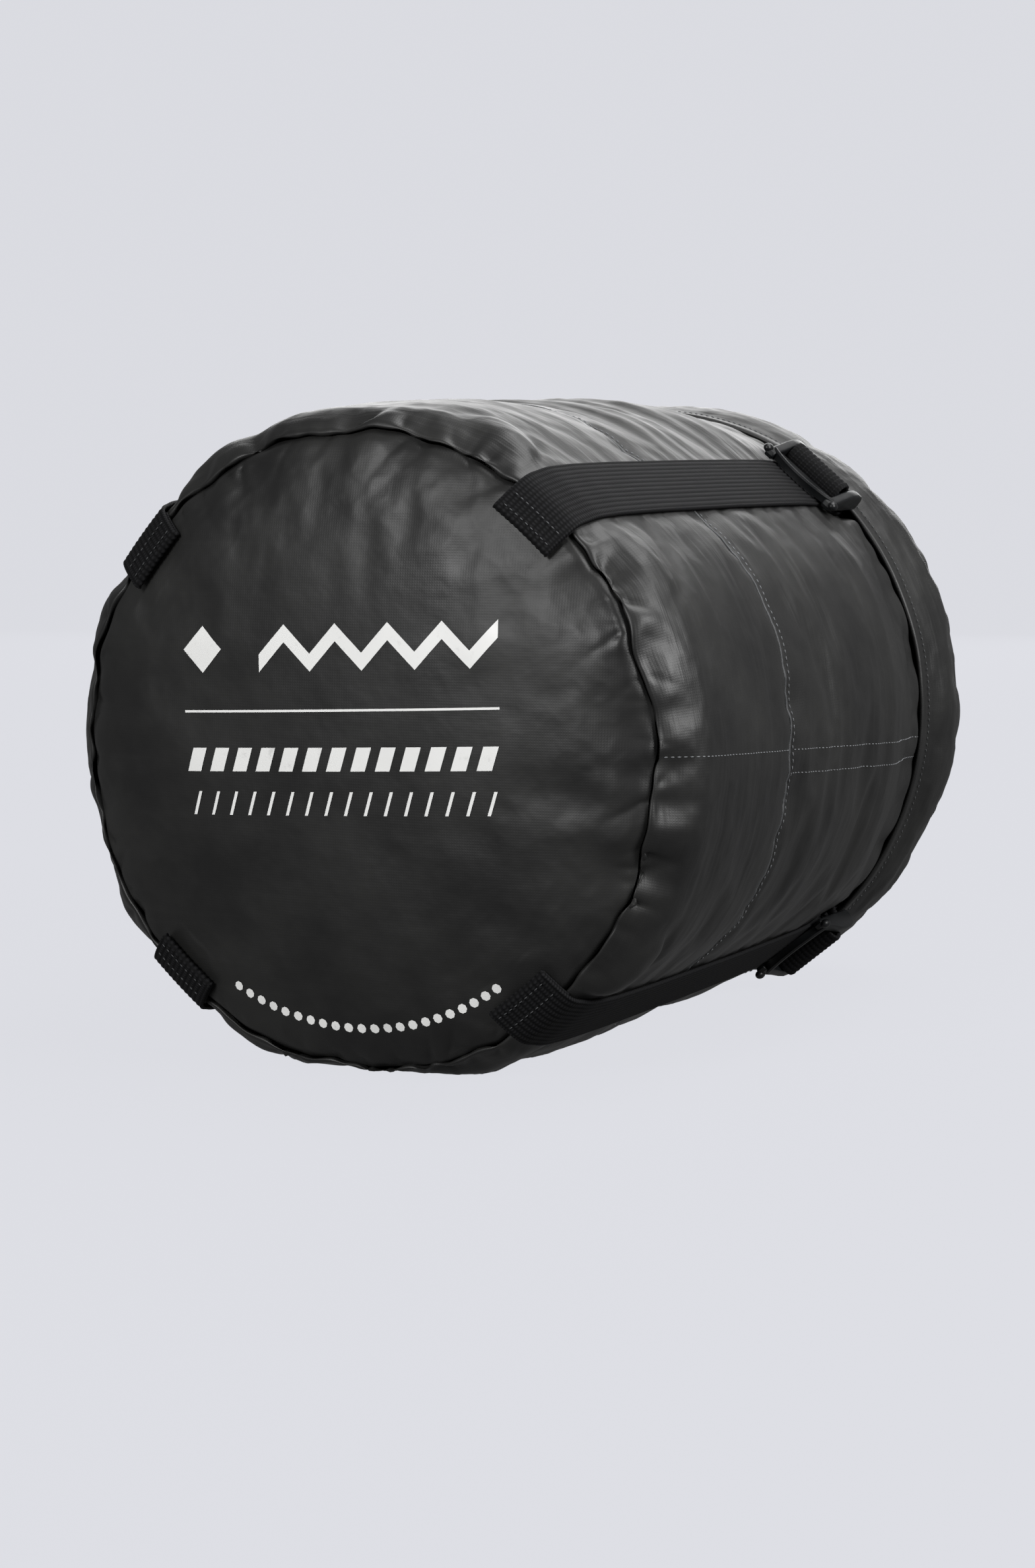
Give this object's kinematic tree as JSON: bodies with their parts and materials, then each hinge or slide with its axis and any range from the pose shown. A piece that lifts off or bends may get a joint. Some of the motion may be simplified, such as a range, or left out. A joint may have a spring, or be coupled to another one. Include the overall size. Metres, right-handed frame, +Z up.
{
  "type": "compression sack",
  "caption": "Round cloth sack with a separate cloth cap drawn down over its mouth by lengthwise webbing straps through lifting ladderlock buckles; packed full and lying on its side.",
  "frame": {"origin": "bottom centre of the bounding box, on the flattened underside the sack lies on", "axes": "+Y from the round base panel to the cap, along the sack's axis; +Z up; +X to the right as seen from the base panel"},
  "size_m": [0.2364, 0.3194, 0.2277],
  "materials": {
    "coated_nylon": "semi-gloss coated plain weave",
    "binding_tape": "folded grosgrain tape",
    "ribbed_webbing": "matte, lengthwise ribs",
    "loop_webbing": "matte, flat woven",
    "moulded_acetal": "moulded, fine polish",
    "moulded_nylon": "moulded, fine texture",
    "braided_cord": "braided",
    "spring_steel": "drawn wire",
    "packed_clothes": "folded knitwear"
  },
  "bodies": {
    "sack": {"packed_contents": "packed_clothes", "base_panel": "coated_nylon", "base_band": "coated_nylon", "side_panel": "coated_nylon", "mouth_hem": "coated_nylon", "drawcord": "braided_cord", "cord_knot": "braided_cord", "strap_upper_right": "ribbed_webbing", "strap_upper_left": "ribbed_webbing", "strap_lower_left": "ribbed_webbing", "strap_lower_right": "ribbed_webbing"},
    "cap": {"cap_band": "coated_nylon", "cap_hem": "binding_tape", "cap_top_panel": "coated_nylon", "buckle_loop_upper_right": "loop_webbing", "buckle_loop_upper_left": "loop_webbing", "buckle_loop_lower_left": "loop_webbing", "buckle_loop_lower_right": "loop_webbing"},
    "buckle_upper_right": {"ladderlock_upper_right": "moulded_acetal", "strap_turn_upper_right": "ribbed_webbing"},
    "buckle_upper_left": {"ladderlock_upper_left": "moulded_acetal", "strap_turn_upper_left": "ribbed_webbing"},
    "buckle_lower_left": {"ladderlock_lower_left": "moulded_acetal", "strap_turn_lower_left": "ribbed_webbing"},
    "buckle_lower_right": {"ladderlock_lower_right": "moulded_acetal", "strap_turn_lower_right": "ribbed_webbing"},
    "cord_lock": {"cord_lock_barrel": "moulded_nylon", "cord_lock_spring": "spring_steel"},
    "plunger": {"cord_lock_plunger": "moulded_nylon"}
  },
  "joints": [
    {"name": "cap_tightening", "type": "slide", "parent": "sack", "child": "cap", "axis": [0, 1, 0], "range_m": [0, 0.05]},
    {"name": "ladderlock_lift_upper_right", "type": "hinge", "parent": "cap", "child": "buckle_upper_right", "pos_m": [0.07508, 0.08875, 0.19897], "axis": [-0.766, 0, 0.6428], "range_deg": [0, 45]},
    {"name": "ladderlock_lift_upper_left", "type": "hinge", "parent": "cap", "child": "buckle_upper_left", "pos_m": [-0.08947, 0.08875, 0.18458], "axis": [-0.6428, 0, -0.766], "range_deg": [0, 45]},
    {"name": "ladderlock_lift_lower_left", "type": "hinge", "parent": "cap", "child": "buckle_lower_left", "pos_m": [-0.07663, 0.08875, 0.02135], "axis": [0.7547, 0, -0.6561], "range_deg": [0, 45]},
    {"name": "ladderlock_lift_lower_right", "type": "hinge", "parent": "cap", "child": "buckle_lower_right", "pos_m": [0.07351, 0.08875, 0.01873], "axis": [0.7771, 0, 0.6293], "range_deg": [0, 45]},
    {"name": "cord_lock_slide", "type": "slide", "parent": "sack", "child": "cord_lock", "axis": [1, 0, 0], "range_m": [0, 0.01]},
    {"name": "plunger_press", "type": "slide", "parent": "cord_lock", "child": "plunger", "axis": [0, 0, -1], "range_m": [0, 0.0035], "stiffness_N_per_m": 500, "springref_m": -0.003, "deforming": ["cord_lock_spring"]}
  ]
}
